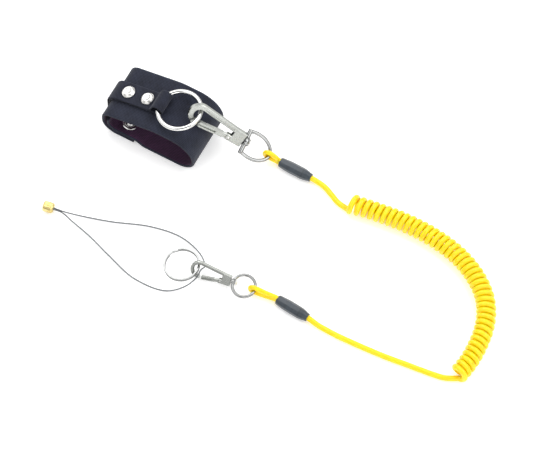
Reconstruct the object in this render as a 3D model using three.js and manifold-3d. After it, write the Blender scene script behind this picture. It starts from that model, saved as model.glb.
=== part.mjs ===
// Wrist tether for hand tools: a webbing cuff, a coiled cord with a swivel snap hook at each
// end, and a small wire loop that ties on to the tool.
// Millimetres, +Z up. The origin is on the surface under the middle of the cuff; +X runs along
// the cuff towards the upper hook and +Y runs along the wrist.
import * as THREE from 'three';
import { mergeVertices } from 'three/addons/utils/BufferGeometryUtils.js';
import Module from 'manifold-3d';

const wasm = await Module();
wasm.setup();

// ---------------------------------------------------------------- driving dimensions

const GAP = 0.3; // clearance between neighbouring pieces

// Cuff: one strip of webbing wound once round, with its ends overlapped underneath.
const CUFF_WIDTH = 50;
const CUFF_LEFT = -44.5;
const CUFF_RIGHT = 41;
const CUFF_HEIGHT = 38.6;
const WEB_THICK = 2.4;
const SLOPE_ANGLE = 0.27; // the top falls to the left by this much, rad
const SLOPE_END_X = 3; // where the sloping part of the top meets the level part
const FLAP_END_X = -15.4;
const LAP_SPACE = 2; // between the two layers underneath, where the press studs sit
const JOGGLE_START_X = -6;
const JOGGLE_END_X = -13.2;
const LOW_CORNER_R = 12; // bends of the strip's middle line, from the lower left round
const HIGH_CORNER_R = 9;
const TOP_BEND_R = 30;
const TOP_RIGHT_R = 21;
const LOW_RIGHT_R = 14;
const JOGGLE_R = 6;

// Ring tab: a narrower strip folded double, round the ring and over the cuff's left fold.
const TAB_WIDTH = 18;
const TAB_THICK = 1.3;
const TAB_EYE_S = 3; // the eye's middle lies this far short of the slope's upper end
const TAB_Y = -1;
const TAB_END_Z = 8; // both ends hang down the left side to this height
const EYE_CLEARANCE = 0.9; // round the ring's wire, over its curve across the tab

// Rivets through the tab and the cuff.
const RIVET_HEAD_R = 5.4;
const RIVET_HEAD_HEIGHT = 2.6;
const RIVET_SHANK_R = 1.8;
const RIVET_PITCH = 18.3;
const RIVET_FIRST_S = 14.2; // from the ring eye's middle to the nearer rivet
const WASHER_R = 4.6;
const WASHER_THICK = 1.2;

// Press studs in the lap underneath.
const STUD_X = -24.2;
const STUD_SPREAD = 13;
const STUD_CAP_R = 6;
const STUD_FLANGE_R = 7;
const STUD_SOCKET_R = 4.6;
const STUD_STEM_R = 1.5;

// Big ring.
const RING_WIRE_R = 1.85;
const RING_MID_R = 17.4;
const RING_LEAN = 0.12;
const RING_INSET = 1; // its wire's middle sits this far inside the eye's middle

// Snap hooks. Lengths are along the hook from the middle of its throat.
const UPPER_HOOK = {
  throatR: 5, barWidth: 4.4, thick: 4.6, baseStart: 33, baseEnd: 43.5, baseHalf: 6.3,
  spineHalf: 6.6, gateStart: 4.2, gateWidth: 4.2, gatePivot: 31.5, gateThick: 2.6, pinR: 1.1,
  lipAngle: 0.28, postR: 1.7, headR: 3.3, headThick: 1.8, headGap: 0.3,
};
const LOWER_HOOK = {
  throatR: 4.5, barWidth: 2.7, thick: 3.2, baseStart: 19.6, baseEnd: 27, baseHalf: 4.4,
  spineHalf: 4.9, gateStart: 3.3, gateWidth: 2.8, gatePivot: 18.6, gateThick: 1.8, pinR: 0.8,
  lipAngle: 0.26, postR: 1.2, headR: 2.3, headThick: 1.3, headGap: 0.8,
};

// Swivel eyes: a cross bar that the hook's post passes through, closed by a bow.
const UPPER_EYE = { wireR: 1.5, barHalf: 9.4, barR: 1.9, reach: 24 };
const LOWER_EYE = { wireR: 1.25, ringR: 9.2, bossR: 2.4 };

// Cord.
const CORD_R = 2.3;
const COIL_R = 8.1;
const LOOP_R = 1.9; // each leg of the looped end, pressed thinner by the sleeve
const SLEEVE_LENGTH = 29;
const SLEEVE_R = 4.3;
const SLEEVE_END_R = 3.1;
const SLEEVE_MOUTH_R = 3.5;
const SLEEVE_HEIGHT = SLEEVE_R + 0.15;

// Tool wire and its crimp, and the split ring.
const WIRE_R = 0.55;
const CRIMP_R = 4.6;
const CRIMP_LENGTH = 8.6;
const CRIMP_HOLE_R = 1.7;
const SPLIT_MID_R = 13.9;
const SPLIT_WIRE = 1.5;
const SPLIT_LEAN = 0.13;

// Where the chain of hardware lies.
const THROAT_OFF_RING = new THREE.Vector3(-0.97, 3.8, -0.24); // from the ring's far side
const UPPER_DROP = new THREE.Vector3(38.6, 8, -26); // the way the upper hook hangs from there
const UPPER_HOOK_ROLL = 0.88;
const UPPER_EYE_ROLL = 0.3;
const LOWER_THROAT = new THREE.Vector3(88.6, -100.4, 7.1);
const LOWER_AIM = new THREE.Vector3(118.7, -96.6, 6.2);
const LOWER_HOOK_ROLL = 0.85;
const LOWER_EYE_ROLL = 0.12;

// Cord route on the surface. Its height is worked out from its radius.
const UPPER_LEAD = [[127.05, 14.9], [133, 15.1], [140, 13.8], [147.8, 10.4], [155.5, 6.9], [165.6, 5.3]];
const COIL_ROUTE = [
  [166.3, 8.6], [186.1, 11.9], [210.7, 14.6], [236.8, 14.2], [262, 9.6], [281, 1.2], [295.8, -10],
  [304.6, -21.8], [310.4, -36], [313.1, -52.3], [313.4, -68.2], [311.4, -82.4],
];
const LOWER_LEAD = [
  [311.5, -85.4], [303, -87.2], [293.3, -89.2], [272.3, -91.7], [251, -94.2], [228.8, -95.7],
  [209.5, -96.4], [194.4, -95.9], [184.15, -94.85],
];
const UPPER_SLEEVE = { from: [97.7, 15.4], heading: -0.02 };
const LOWER_SLEEVE = { from: [154.9, -92.4], heading: -0.083 };

// Tool wire: over the surface, up through the lower hook's throat and back to the crimp.
const CRIMP_AT = new THREE.Vector3(-44.6, -109.9, CRIMP_R + 0.1);
const CRIMP_HEADING = 0.17;

// ---------------------------------------------------------------- materials

function metal(color, roughness) {
  return new THREE.MeshStandardMaterial({ color, roughness, metalness: 1 });
}

function plain(color, roughness) {
  return new THREE.MeshStandardMaterial({ color, roughness, metalness: 0 });
}

const WEBBING = 0x23252f;
const CHROME = 0xd8dadc;
const CAST_ZINC = 0xc3c7c6;
const WIRE_STEEL = 0x8a8d90;
const BRASS = 0xc9a648;
const YELLOW = 0xffe014;
const SLEEVE_BLACK = 0x2a333b;

// ---------------------------------------------------------------- helpers

const model = new THREE.Group();

function place(parent, name, geometry, material) {
  const mesh = new THREE.Mesh(geometry, material);
  mesh.name = name;
  parent.add(mesh);
  return mesh;
}

function toSolid(geometry) {
  const bare = geometry.clone();
  bare.deleteAttribute('normal');
  bare.deleteAttribute('uv');
  const merged = mergeVertices(bare, 1e-4);
  const vertProperties = new Float32Array(merged.attributes.position.array);
  const corners = merged.index.array;
  const kept = [];
  for (let k = 0; k < corners.length; k += 3) {
    const [a, b, c] = corners.slice(k, k + 3);
    if (a !== b && b !== c && c !== a) kept.push(a, b, c);
  }
  const triVerts = new Uint32Array(kept);
  return new wasm.Manifold(new wasm.Mesh({ numProp: 3, vertProperties, triVerts }));
}

function toGeometry(solid) {
  const mesh = solid.getMesh();
  const geometry = new THREE.BufferGeometry();
  geometry.setAttribute('position', new THREE.BufferAttribute(mesh.vertProperties, 3));
  geometry.setIndex(new THREE.BufferAttribute(mesh.triVerts, 1));
  geometry.computeVertexNormals();
  return geometry;
}

function join(first, ...rest) {
  return toGeometry(rest.reduce((whole, next) => whole.add(toSolid(next)), toSolid(first)));
}

function cut(first, ...rest) {
  return toGeometry(rest.reduce((whole, next) => whole.subtract(toSolid(next)), toSolid(first)));
}

// A solid of revolution about Z from [radius, height] pairs that start and end on the axis.
function turned(profile, segments = 16) {
  const points = profile.map(([radius, height]) => new THREE.Vector2(radius, height));
  return new THREE.LatheGeometry(points, segments).rotateX(Math.PI / 2);
}

function rod(radius, from, to, segments = 14) {
  return turned([[0, from], [radius, from], [radius, to], [0, to]], segments);
}

// A tube of flat-sided section along a curve.
function tube(curve, radius, steps, sides = 10) {
  const section = new THREE.Shape();
  for (let k = 0; k < sides; k += 1) {
    const angle = (2 * Math.PI * (k + 0.5)) / sides;
    const x = radius * Math.cos(angle);
    const y = radius * Math.sin(angle);
    if (k === 0) section.moveTo(x, y);
    else section.lineTo(x, y);
  }
  return new THREE.ExtrudeGeometry(section, { steps, extrudePath: curve, curveSegments: 1 });
}

// Outline of a strip of even thickness along a line of points.
function stripShape(points, thickness) {
  const sides = [[], []];
  points.forEach((point, k) => {
    const before = points[Math.max(k - 1, 0)];
    const after = points[Math.min(k + 1, points.length - 1)];
    const normal = new THREE.Vector2(before.y - after.y, after.x - before.x).normalize();
    sides[0].push(point.clone().addScaledVector(normal, thickness / 2));
    sides[1].push(point.clone().addScaledVector(normal, -thickness / 2));
  });
  return new THREE.Shape([...sides[0], ...sides[1].reverse()]);
}

// A line through corners, each rounded by its own radius, as evenly turned points.
function roundedLine(corners, turn = 0.2) {
  const line = [];
  corners.forEach(([x, y, radius], k) => {
    const corner = new THREE.Vector2(x, y);
    if (!radius) {
      line.push(corner);
      return;
    }
    const back = new THREE.Vector2(...corners[k - 1].slice(0, 2)).sub(corner).normalize();
    const ahead = new THREE.Vector2(...corners[k + 1].slice(0, 2)).sub(corner).normalize();
    const half = Math.acos(THREE.MathUtils.clamp(back.dot(ahead), -1, 1)) / 2;
    const middle = back.clone().add(ahead).normalize().multiplyScalar(radius / Math.sin(half));
    const centre = corner.clone().add(middle);
    const start = corner.clone().addScaledVector(back, radius / Math.tan(half)).sub(centre);
    const sweep = (Math.PI - 2 * half) * Math.sign(back.y * ahead.x - back.x * ahead.y);
    const count = Math.max(2, Math.ceil(Math.abs(sweep) / turn));
    for (let n = 0; n <= count; n += 1) {
      line.push(start.clone().rotateAround(new THREE.Vector2(), (sweep * n) / count).add(centre));
    }
  });
  return line;
}

// Extrudes an outline drawn in X and Z along Y, evenly about the given Y.
function slab(shape, width, atY) {
  const depth = { depth: width, bevelEnabled: false, curveSegments: 8 };
  return new THREE.ExtrudeGeometry(shape, depth).rotateX(Math.PI / 2).translate(0, atY + width / 2, 0);
}

// A plate with eased edges, evenly about Z = 0.
function plate(shape, thick, ease) {
  const options = {
    depth: thick - 2 * ease, bevelEnabled: ease > 0, bevelThickness: ease, bevelSize: ease,
    bevelOffset: -ease, bevelSegments: 1, curveSegments: 6,
  };
  return new THREE.ExtrudeGeometry(shape, options).translate(0, 0, -thick / 2 + ease);
}

// A group at a point with its X axis aimed at another, rolled about that axis.
function aimed(origin, target, roll) {
  const along = target.clone().sub(origin).normalize();
  const level = new THREE.Vector3(-along.y, along.x, 0).normalize();
  const up = along.clone().cross(level);
  const side = level.clone().multiplyScalar(Math.cos(roll)).addScaledVector(up, Math.sin(roll));
  const face = along.clone().cross(side);
  const group = new THREE.Group();
  group.quaternion.setFromRotationMatrix(new THREE.Matrix4().makeBasis(along, side, face));
  group.position.copy(origin);
  model.add(group);
  return group;
}

function smooth(points, closed = false) {
  return new THREE.CatmullRomCurve3(points, closed, 'centripetal');
}

// ---------------------------------------------------------------- cuff

// A point over the sloping top: s along it from the level part, n out from the webbing.
function onSlope(s, n) {
  const along = new THREE.Vector2(Math.cos(SLOPE_ANGLE), Math.sin(SLOPE_ANGLE));
  const out = new THREE.Vector2(-along.y, along.x);
  const corner = new THREE.Vector2(SLOPE_END_X, CUFF_HEIGHT);
  return corner.addScaledVector(along, s).addScaledVector(out, n);
}

// Where the slope, offset by n, meets the upright left side, offset by n.
function slopeAtLeft(n) {
  const x = CUFF_LEFT - n;
  const s = (x - onSlope(0, n).x) / Math.cos(SLOPE_ANGLE);
  return [x, onSlope(s, n).y];
}

const STUD_POSITIONS = [['front', -STUD_SPREAD], ['rear', STUD_SPREAD]];

function makeCuff() {
  const half = WEB_THICK / 2;
  const lapHeight = half + WEB_THICK + LAP_SPACE;
  const left = CUFF_LEFT + half;
  const right = CUFF_RIGHT - half;
  const top = CUFF_HEIGHT - half;
  const knee = onSlope(0, -half);
  const inner = left + WEB_THICK + LAP_SPACE;
  const line = roundedLine([
    [FLAP_END_X, half],
    [left, half, LOW_CORNER_R],
    [...slopeAtLeft(-half), HIGH_CORNER_R],
    [knee.x, top, TOP_BEND_R],
    [right, top, TOP_RIGHT_R],
    [right, half, LOW_RIGHT_R],
    [JOGGLE_START_X, half, JOGGLE_R],
    [JOGGLE_END_X, lapHeight, JOGGLE_R],
    [inner, lapHeight, LOW_CORNER_R - WEB_THICK - LAP_SPACE],
    [inner, lapHeight + LOW_CORNER_R],
  ]);
  const strip = slab(stripShape(line, WEB_THICK), CUFF_WIDTH, 0);
  const holes = [];
  for (const [, y] of STUD_POSITIONS) {
    holes.push(rod(STUD_CAP_R + GAP, -1, 1.4).translate(STUD_X, y, 0));
    holes.push(rod(RIVET_SHANK_R + GAP, 1, lapHeight + half + 1).translate(STUD_X, y, 0));
  }
  for (const s of rivetPlaces()) {
    holes.push(onRivet(rod(RIVET_SHANK_R + GAP, -6, 6), s));
  }
  place(model, 'cuff_strap', cut(strip, ...holes), plain(WEBBING, 0.85));
}

function makeStud(end, y) {
  const middle = WEB_THICK + LAP_SPACE / 2;
  const top = 2 * WEB_THICK + LAP_SPACE;
  const cap = turned([
    [0, 0.1], [STUD_CAP_R - 0.6, 0.1], [STUD_CAP_R, 0.5], [STUD_CAP_R, 1.1], [STUD_STEM_R, 1.1],
    [STUD_STEM_R, middle - GAP], [0, middle - GAP],
  ]);
  place(model, `snap_cap_${end}`, cap.translate(STUD_X, y, 0), metal(CHROME, 0.25));
  const low = WEB_THICK + GAP;
  const high = WEB_THICK + LAP_SPACE - GAP;
  const bore = STUD_STEM_R + 0.4;
  const socket = turned([
    [bore, low], [STUD_SOCKET_R, low], [STUD_SOCKET_R, high], [bore, high], [bore, low],
  ]);
  place(model, `snap_socket_${end}`, socket.translate(STUD_X, y, 0), metal(CHROME, 0.3));
  const flange = turned([
    [0, middle + 0.2], [STUD_STEM_R, middle + 0.2], [STUD_STEM_R, top + GAP],
    [STUD_FLANGE_R, top + GAP],
    [STUD_FLANGE_R, top + 1], [STUD_FLANGE_R - 1, top + 1.5], [STUD_FLANGE_R - 2.2, top + 0.9],
    [3.2, top + 0.9], [2.8, top + 1.9], [1.4, top + 2.4], [0, top + 2.4],
  ], 20);
  place(model, `snap_stud_${end}`, flange.translate(STUD_X, y, 0), metal(CHROME, 0.22));
}

// ---------------------------------------------------------------- ring tab and rivets

const RING_RISE = RING_MID_R - Math.sqrt(RING_MID_R ** 2 - (TAB_WIDTH / 2) ** 2); // across the tab
const EYE_INNER_R = RING_WIRE_R + RING_RISE / 2 + EYE_CLEARANCE;
const PLY_LOW = GAP + TAB_THICK / 2;
const PLY_HIGH = PLY_LOW + TAB_THICK + GAP;
const EYE_MID_R = EYE_INNER_R + TAB_THICK / 2;
const EYE_HEIGHT = PLY_LOW + EYE_MID_R;

function rivetPlaces() {
  const first = -TAB_EYE_S - RIVET_FIRST_S;
  return [first, first - RIVET_PITCH];
}

// Turns a solid made along Z to stand on the slope at s.
function onRivet(geometry, s) {
  const foot = onSlope(s, 0);
  return geometry.rotateY(-SLOPE_ANGLE).translate(foot.x, TAB_Y, foot.y);
}

function eyeCentre() {
  return onSlope(-TAB_EYE_S, EYE_HEIGHT);
}

function makeTab() {
  const centre = eyeCentre();
  const fall = EYE_HEIGHT + EYE_MID_R - PLY_HIGH;
  const rampEnd = onSlope(-TAB_EYE_S - fall, PLY_HIGH);
  const line = [new THREE.Vector2(CUFF_LEFT - PLY_HIGH, TAB_END_Z)];
  const leftEdge = slopeAtLeft(PLY_HIGH);
  const ramp = onSlope(-TAB_EYE_S - 3, EYE_HEIGHT + EYE_MID_R - 1);
  line.push(...roundedLine([
    [line[0].x, line[0].y], [...leftEdge, HIGH_CORNER_R + PLY_HIGH], [rampEnd.x, rampEnd.y, 3],
    [ramp.x, ramp.y],
  ]).slice(1, -1));
  const from = SLOPE_ANGLE + 2.2;
  const to = SLOPE_ANGLE - Math.PI / 2;
  const steps = 14;
  for (let k = 0; k <= steps; k += 1) {
    const angle = from + ((to - from) * k) / steps;
    const spoke = new THREE.Vector2(Math.cos(angle), Math.sin(angle)).multiplyScalar(EYE_MID_R);
    line.push(centre.clone().add(spoke));
  }
  const lowLeft = slopeAtLeft(PLY_LOW);
  const last = line[line.length - 1];
  line.push(...roundedLine([
    [last.x, last.y], [...lowLeft, HIGH_CORNER_R + PLY_LOW], [CUFF_LEFT - PLY_LOW, TAB_END_Z],
  ]).slice(1));
  const strip = slab(stripShape(line, TAB_THICK), TAB_WIDTH, TAB_Y);
  const holes = rivetPlaces().map((s) => onRivet(rod(RIVET_SHANK_R + GAP, -2, 8), s));
  place(model, 'ring_tab', cut(strip, ...holes), plain(WEBBING, 0.8));
}

function makeRivet(name, s) {
  const seat = PLY_HIGH + TAB_THICK / 2 + GAP;
  const crown = seat + RIVET_HEAD_HEIGHT;
  const cap = turned([
    [0, -WEB_THICK + 0.4], [RIVET_SHANK_R, -WEB_THICK + 0.4], [RIVET_SHANK_R, seat],
    [RIVET_HEAD_R, seat], [RIVET_HEAD_R, seat + 0.7], [RIVET_HEAD_R - 1, seat + 1.7],
    [3.2, crown], [2.4, crown], [1.6, crown - 0.5], [0, crown - 0.7],
  ], 20);
  place(model, `${name}_cap`, onRivet(cap, s), metal(CHROME, 0.2));
  const under = -WEB_THICK - GAP;
  const washer = turned([
    [0, under - WASHER_THICK - 0.4], [1.4, under - WASHER_THICK - 0.4], [2, under - WASHER_THICK],
    [WASHER_R, under - WASHER_THICK], [WASHER_R, under], [1.3, under], [1.3, -WEB_THICK + 0.1],
    [0, -WEB_THICK + 0.1],
  ]);
  place(model, `${name}_post`, onRivet(washer, s), metal(CHROME, 0.3));
}

// ---------------------------------------------------------------- rings

function makeBigRing() {
  const eye = eyeCentre();
  const ring = new THREE.TorusGeometry(RING_MID_R, RING_WIRE_R, 12, 44);
  ring.translate(RING_MID_R - RING_INSET, 0, 0).rotateY(-RING_LEAN).translate(eye.x, TAB_Y, eye.y);
  place(model, 'big_ring', ring, metal(CHROME, 0.12));
}

// The middle of the ring's wire, furthest from the tab.
function ringFarSide() {
  const eye = eyeCentre();
  const reach = 2 * RING_MID_R - RING_INSET;
  const x = eye.x + reach * Math.cos(RING_LEAN);
  return new THREE.Vector3(x, TAB_Y, eye.y + reach * Math.sin(RING_LEAN));
}

// A flat ring of two close turns, cut as one body with a step where an end lies on the other.
function makeSplitRing(group) {
  const half = SPLIT_WIRE / 2;
  const body = turned([
    [SPLIT_MID_R - half, -SPLIT_WIRE + 0.2], [SPLIT_MID_R - half + 0.4, -SPLIT_WIRE],
    [SPLIT_MID_R + half - 0.4, -SPLIT_WIRE], [SPLIT_MID_R + half, -SPLIT_WIRE + 0.4],
    [SPLIT_MID_R + half, -0.15], [SPLIT_MID_R + half - 0.3, 0], [SPLIT_MID_R + half, 0.15],
    [SPLIT_MID_R + half, SPLIT_WIRE - 0.4], [SPLIT_MID_R + half - 0.4, SPLIT_WIRE],
    [SPLIT_MID_R - half + 0.4, SPLIT_WIRE], [SPLIT_MID_R - half, SPLIT_WIRE - 0.2],
    [SPLIT_MID_R - half, -SPLIT_WIRE + 0.2],
  ], 40);
  place(group, 'split_ring', body, metal(CHROME, 0.18));
}

// ---------------------------------------------------------------- snap hooks

// The hook's frame: nose, spine and base in one casting, with a slot and bores cut in it.
function makeHook(prefix, size, group) {
  const middleR = size.throatR + size.barWidth / 2;
  const nose = [];
  const steps = 16;
  const from = -Math.PI / 2 + size.lipAngle;
  const to = -Math.PI * 1.5;
  for (let k = 0; k <= steps; k += 1) {
    const angle = from + ((to - from) * k) / steps;
    nose.push(new THREE.Vector2(Math.cos(angle), Math.sin(angle)).multiplyScalar(middleR));
  }
  const spineEnd = new THREE.Vector2(size.baseStart + 2, size.spineHalf - size.barWidth / 2);
  const bar = plate(stripShape([...nose, spineEnd], size.barWidth), size.thick, 0.5);
  const base = new THREE.Shape();
  base.moveTo(size.gatePivot - size.gateWidth / 2, -size.spineHalf);
  base.lineTo(size.baseEnd, -size.baseHalf);
  base.lineTo(size.baseEnd, size.baseHalf);
  base.lineTo(size.baseStart, size.spineHalf);
  base.lineTo(size.baseStart, -size.spineHalf + size.gateWidth + 1);
  base.lineTo(size.gatePivot - size.gateWidth / 2, -size.spineHalf + size.gateWidth + 1);
  const block = plate(base, size.thick + 0.6, 0.5);
  const pivotY = -size.spineHalf + size.gateWidth / 2 + 0.4;
  const slotReach = size.gateWidth / 2 + 2.2;
  const slot = new THREE.BoxGeometry(2 * slotReach, 3 * size.gateWidth, size.gateThick + 2 * GAP);
  slot.translate(size.gatePivot, pivotY - size.gateWidth * 0.4, 0);
  const pinBore = rod(size.pinR + GAP / 2, -size.thick, size.thick).translate(size.gatePivot, pivotY, 0);
  const postBore = rod(size.postR + GAP, size.baseEnd - 5, size.baseEnd + 2).rotateY(Math.PI / 2);
  const frame = cut(join(bar, block), slot, pinBore, postBore);
  place(group, `${prefix}_hook_frame`, frame, metal(CAST_ZINC, 0.28));

  const gateLength = size.gatePivot - size.gateStart;
  const gateAngle = Math.atan2(middleR + pivotY, gateLength); // its tip closes on the lip
  const gate = new THREE.Shape();
  const gateHalf = size.gateWidth / 2;
  gate.moveTo(-gateLength, gateHalf);
  gate.lineTo(-gateLength - 0.8, -gateHalf);
  gate.lineTo(0, -gateHalf);
  gate.absarc(0, 0, gateHalf, -Math.PI / 2, Math.PI / 2, false);
  const wide = new THREE.BoxGeometry(gateLength - slotReach - 1.2, size.gateWidth, size.thick - 0.6);
  wide.translate(-gateLength + (gateLength - slotReach - 1.2) / 2, 0, 0);
  const groove = new THREE.BoxGeometry(gateLength * 0.46, size.gateWidth * 0.42, size.thick);
  groove.translate(-gateLength * 0.66, 0, size.thick * 0.85);
  const bore = rod(size.pinR + GAP, -size.thick, size.thick);
  const arm = cut(join(plate(gate, size.gateThick, 0.3), wide), bore, groove);
  arm.rotateZ(gateAngle).translate(size.gatePivot, pivotY, 0);
  place(group, `${prefix}_gate`, arm, metal(CAST_ZINC, 0.24));

  const pinHalf = size.thick / 2 + 0.1;
  const pin = rod(size.pinR - 0.05, -pinHalf, pinHalf).translate(size.gatePivot, pivotY, 0);
  place(group, `${prefix}_gate_pin`, pin, metal(CHROME, 0.3));
  return pivotY;
}

// The post is riveted into the hook's base; its head holds the eye's bar and lets it turn.
function makePost(prefix, size, barR, group) {
  const start = size.baseEnd - 4.6;
  const headStart = size.baseEnd + 2 * GAP + 2 * barR + size.headGap;
  const post = turned([
    [0, start], [size.postR, start], [size.postR, headStart], [size.headR, headStart],
    [size.headR, headStart + size.headThick * 0.6], [size.headR * 0.6, headStart + size.headThick],
    [0, headStart + size.headThick],
  ]).rotateY(Math.PI / 2);
  place(group, `${prefix}_swivel_post`, post, metal(CHROME, 0.25));
}

// ---------------------------------------------------------------- swivel eyes

function makeUpperEye(group) {
  const { wireR, barHalf, barR, reach } = UPPER_EYE;
  const barX = UPPER_HOOK.baseEnd + 2 * GAP + barR;
  const bow = smooth([
    new THREE.Vector3(barX - 0.2, -barHalf, 0), new THREE.Vector3(barX + reach * 0.3, -barHalf - 1, 0),
    new THREE.Vector3(barX + reach * 0.62, -barHalf, 0),
    new THREE.Vector3(barX + reach * 0.9, -barHalf * 0.55, 0), new THREE.Vector3(barX + reach, 0, 0),
    new THREE.Vector3(barX + reach * 0.9, barHalf * 0.55, 0),
    new THREE.Vector3(barX + reach * 0.62, barHalf, 0),
    new THREE.Vector3(barX + reach * 0.3, barHalf + 1, 0), new THREE.Vector3(barX - 0.2, barHalf, 0),
  ]);
  const bar = rod(barR, -barHalf - wireR, barHalf + wireR, 12).rotateX(Math.PI / 2);
  bar.translate(barX, 0, 0);
  const boss = rod(UPPER_HOOK.postR + 2.2, barX - barR, barX + barR).rotateY(Math.PI / 2);
  const bore = rod(UPPER_HOOK.postR + GAP, barX - 9, barX + 9).rotateY(Math.PI / 2);
  const eye = cut(join(tube(bow, wireR, 30, 10), bar, boss), bore);
  place(group, 'upper_swivel_eye', eye, metal(CHROME, 0.15));
  return barX + reach;
}

function makeLowerEye(group) {
  const { wireR, ringR, bossR } = LOWER_EYE;
  const barX = LOWER_HOOK.baseEnd + 2 * GAP + wireR;
  const ring = new THREE.TorusGeometry(ringR, wireR, 10, 32).translate(barX + ringR, 0, 0);
  const boss = rod(bossR, barX - wireR, barX + wireR).rotateY(Math.PI / 2);
  const bore = rod(LOWER_HOOK.postR + GAP, barX - 4, barX + 5).rotateY(Math.PI / 2);
  place(group, 'lower_swivel_eye', cut(join(ring, boss), bore), metal(CHROME, 0.15));
  return barX + 2 * ringR;
}

// ---------------------------------------------------------------- cord

function flat(route, height) {
  return route.map(([x, y]) => new THREE.Vector3(x, y, height));
}

// A sleeve moulded over the cord, with a shoulder at its thin end.
function makeSleeve(name, { from, heading }) {
  const at = (share) => SLEEVE_LENGTH * share;
  const body = turned([
    [0, 0], [SLEEVE_MOUTH_R, 0], [SLEEVE_MOUTH_R + 0.2, at(0.05)], [SLEEVE_R, at(0.34)],
    [SLEEVE_R, at(0.76)], [SLEEVE_END_R, at(0.93)], [SLEEVE_END_R, at(1)], [0, at(1)],
  ], 12).rotateY(Math.PI / 2);
  body.rotateZ(heading).translate(from[0], from[1], SLEEVE_HEIGHT);
  place(model, name, body, plain(SLEEVE_BLACK, 0.45));
}

// The end of the cord doubled round a swivel eye: a closed ring of cord drawn out to the sleeve.
function makeLoop(name, eyeEnd, wireR, { from, heading }) {
  const mouth = new THREE.Vector3(from[0], from[1], SLEEVE_HEIGHT);
  mouth.x -= GAP * Math.cos(heading);
  mouth.y -= GAP * Math.sin(heading);
  const toSleeve = mouth.clone().sub(eyeEnd);
  const length = toSleeve.length();
  const along = toSleeve.normalize();
  const across = new THREE.Vector3(0, 0, 1).addScaledVector(along, -along.z).normalize();
  const at = (a, c) => eyeEnd.clone().addScaledVector(along, a).addScaledVector(across, c);
  const bight = LOOP_R + wireR + 0.7;
  const inset = LOOP_R + 0.15;
  const ahead = new THREE.Vector3(Math.cos(heading), Math.sin(heading), 0);
  const leg = (a, c) => mouth.clone().addScaledVector(ahead, a).setZ(SLEEVE_HEIGHT + c);
  const points = [leg(0, inset), leg(-1.5, inset), at(length * 0.55, inset + 0.8)];
  for (let k = 0; k <= 6; k += 1) {
    const angle = Math.PI / 2 + (Math.PI * k) / 6;
    points.push(at(bight * Math.cos(angle), bight * Math.sin(angle)));
  }
  points.push(at(length * 0.55, -inset - 0.8), leg(-1.5, -inset), leg(0, -inset));
  place(model, name, tube(smooth(points), LOOP_R, 26, 8), plain(YELLOW, 0.5));
}

function makeCord() {
  place(model, 'upper_lead', tube(smooth(flat(UPPER_LEAD, CORD_R)), CORD_R, 10, 8), plain(YELLOW, 0.5));
  place(model, 'coil', tube(smooth(flat(COIL_ROUTE, COIL_R)), COIL_R, 26, 12), plain(YELLOW, 0.5));
  place(model, 'lower_lead', tube(smooth(flat(LOWER_LEAD, CORD_R)), CORD_R, 16, 8), plain(YELLOW, 0.5));
}

// ---------------------------------------------------------------- tool wire

function makeToolWire(group) {
  const low = WIRE_R + 0.2;
  const exit = new THREE.Vector3(Math.cos(CRIMP_HEADING), Math.sin(CRIMP_HEADING), 0);
  const mouth = CRIMP_AT.clone().addScaledVector(exit, CRIMP_LENGTH / 2 + GAP);
  const side = new THREE.Vector3(-exit.y, exit.x, 0);
  const start = mouth.clone().addScaledVector(side, WIRE_R + 0.1);
  const end = mouth.clone().addScaledVector(side, -WIRE_R - 0.1);
  const throat = LOWER_THROAT.clone().add(new THREE.Vector3(1.4, 0.2, 0.2));
  const away = (point, distance) => point.clone().addScaledVector(exit, distance);
  const route = smooth([
    start, away(start, 7).setZ(3.6),
    new THREE.Vector3(-23.3, -104.2, 1.7), new THREE.Vector3(3.8, -95.6, low),
    new THREE.Vector3(33.9, -84, low), new THREE.Vector3(57.4, -80.1, low),
    new THREE.Vector3(73, -82.6, 1), new THREE.Vector3(84.6, -88.6, 3), new THREE.Vector3(90.6, -95.5, 5.2),
    throat,
    new THREE.Vector3(89.4, -107.6, 4.6), new THREE.Vector3(84.2, -118, 2.2),
    new THREE.Vector3(72.1, -127.6, low), new THREE.Vector3(45.4, -130, low),
    new THREE.Vector3(18.4, -122.4, low), new THREE.Vector3(-4.2, -114.8, low),
    new THREE.Vector3(-23.3, -110.4, 1.7), away(end, 7).setZ(3.6), end,
  ]);
  place(group, 'tool_wire', tube(route, WIRE_R, 78, 8), metal(WIRE_STEEL, 0.45));
}

function makeCrimp() {
  const half = CRIMP_LENGTH / 2;
  const holeEnd = -half + 4.4;
  const body = turned([
    [0, holeEnd], [CRIMP_HOLE_R, holeEnd], [CRIMP_HOLE_R, -half + 0.3], [CRIMP_HOLE_R + 0.3, -half],
    [CRIMP_R - 0.8, -half], [CRIMP_R, -half + 0.8], [CRIMP_R, half - 1.6], [CRIMP_R - 1, half],
    [0, half],
  ]);
  body.rotateY(Math.PI / 2).rotateZ(CRIMP_HEADING).translate(CRIMP_AT.x, CRIMP_AT.y, CRIMP_AT.z);
  place(model, 'wire_crimp', body, metal(BRASS, 0.3));
}

// ---------------------------------------------------------------- assembly

makeCuff();
for (const [end, y] of STUD_POSITIONS) makeStud(end, y);
makeTab();
rivetPlaces().forEach((s, k) => makeRivet(['inner_rivet', 'outer_rivet'][k], s));
makeBigRing();

const upperThroat = ringFarSide().add(THROAT_OFF_RING);
const upperAim = upperThroat.clone().add(UPPER_DROP);
const upperHook = aimed(upperThroat, upperAim, UPPER_HOOK_ROLL);
makeHook('upper', UPPER_HOOK, upperHook);
makePost('upper', UPPER_HOOK, UPPER_EYE.barR, upperHook);
const upperEye = aimed(upperThroat, upperAim, UPPER_EYE_ROLL);
const upperEyeEnd = upperEye.localToWorld(new THREE.Vector3(makeUpperEye(upperEye), 0, 0));

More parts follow.
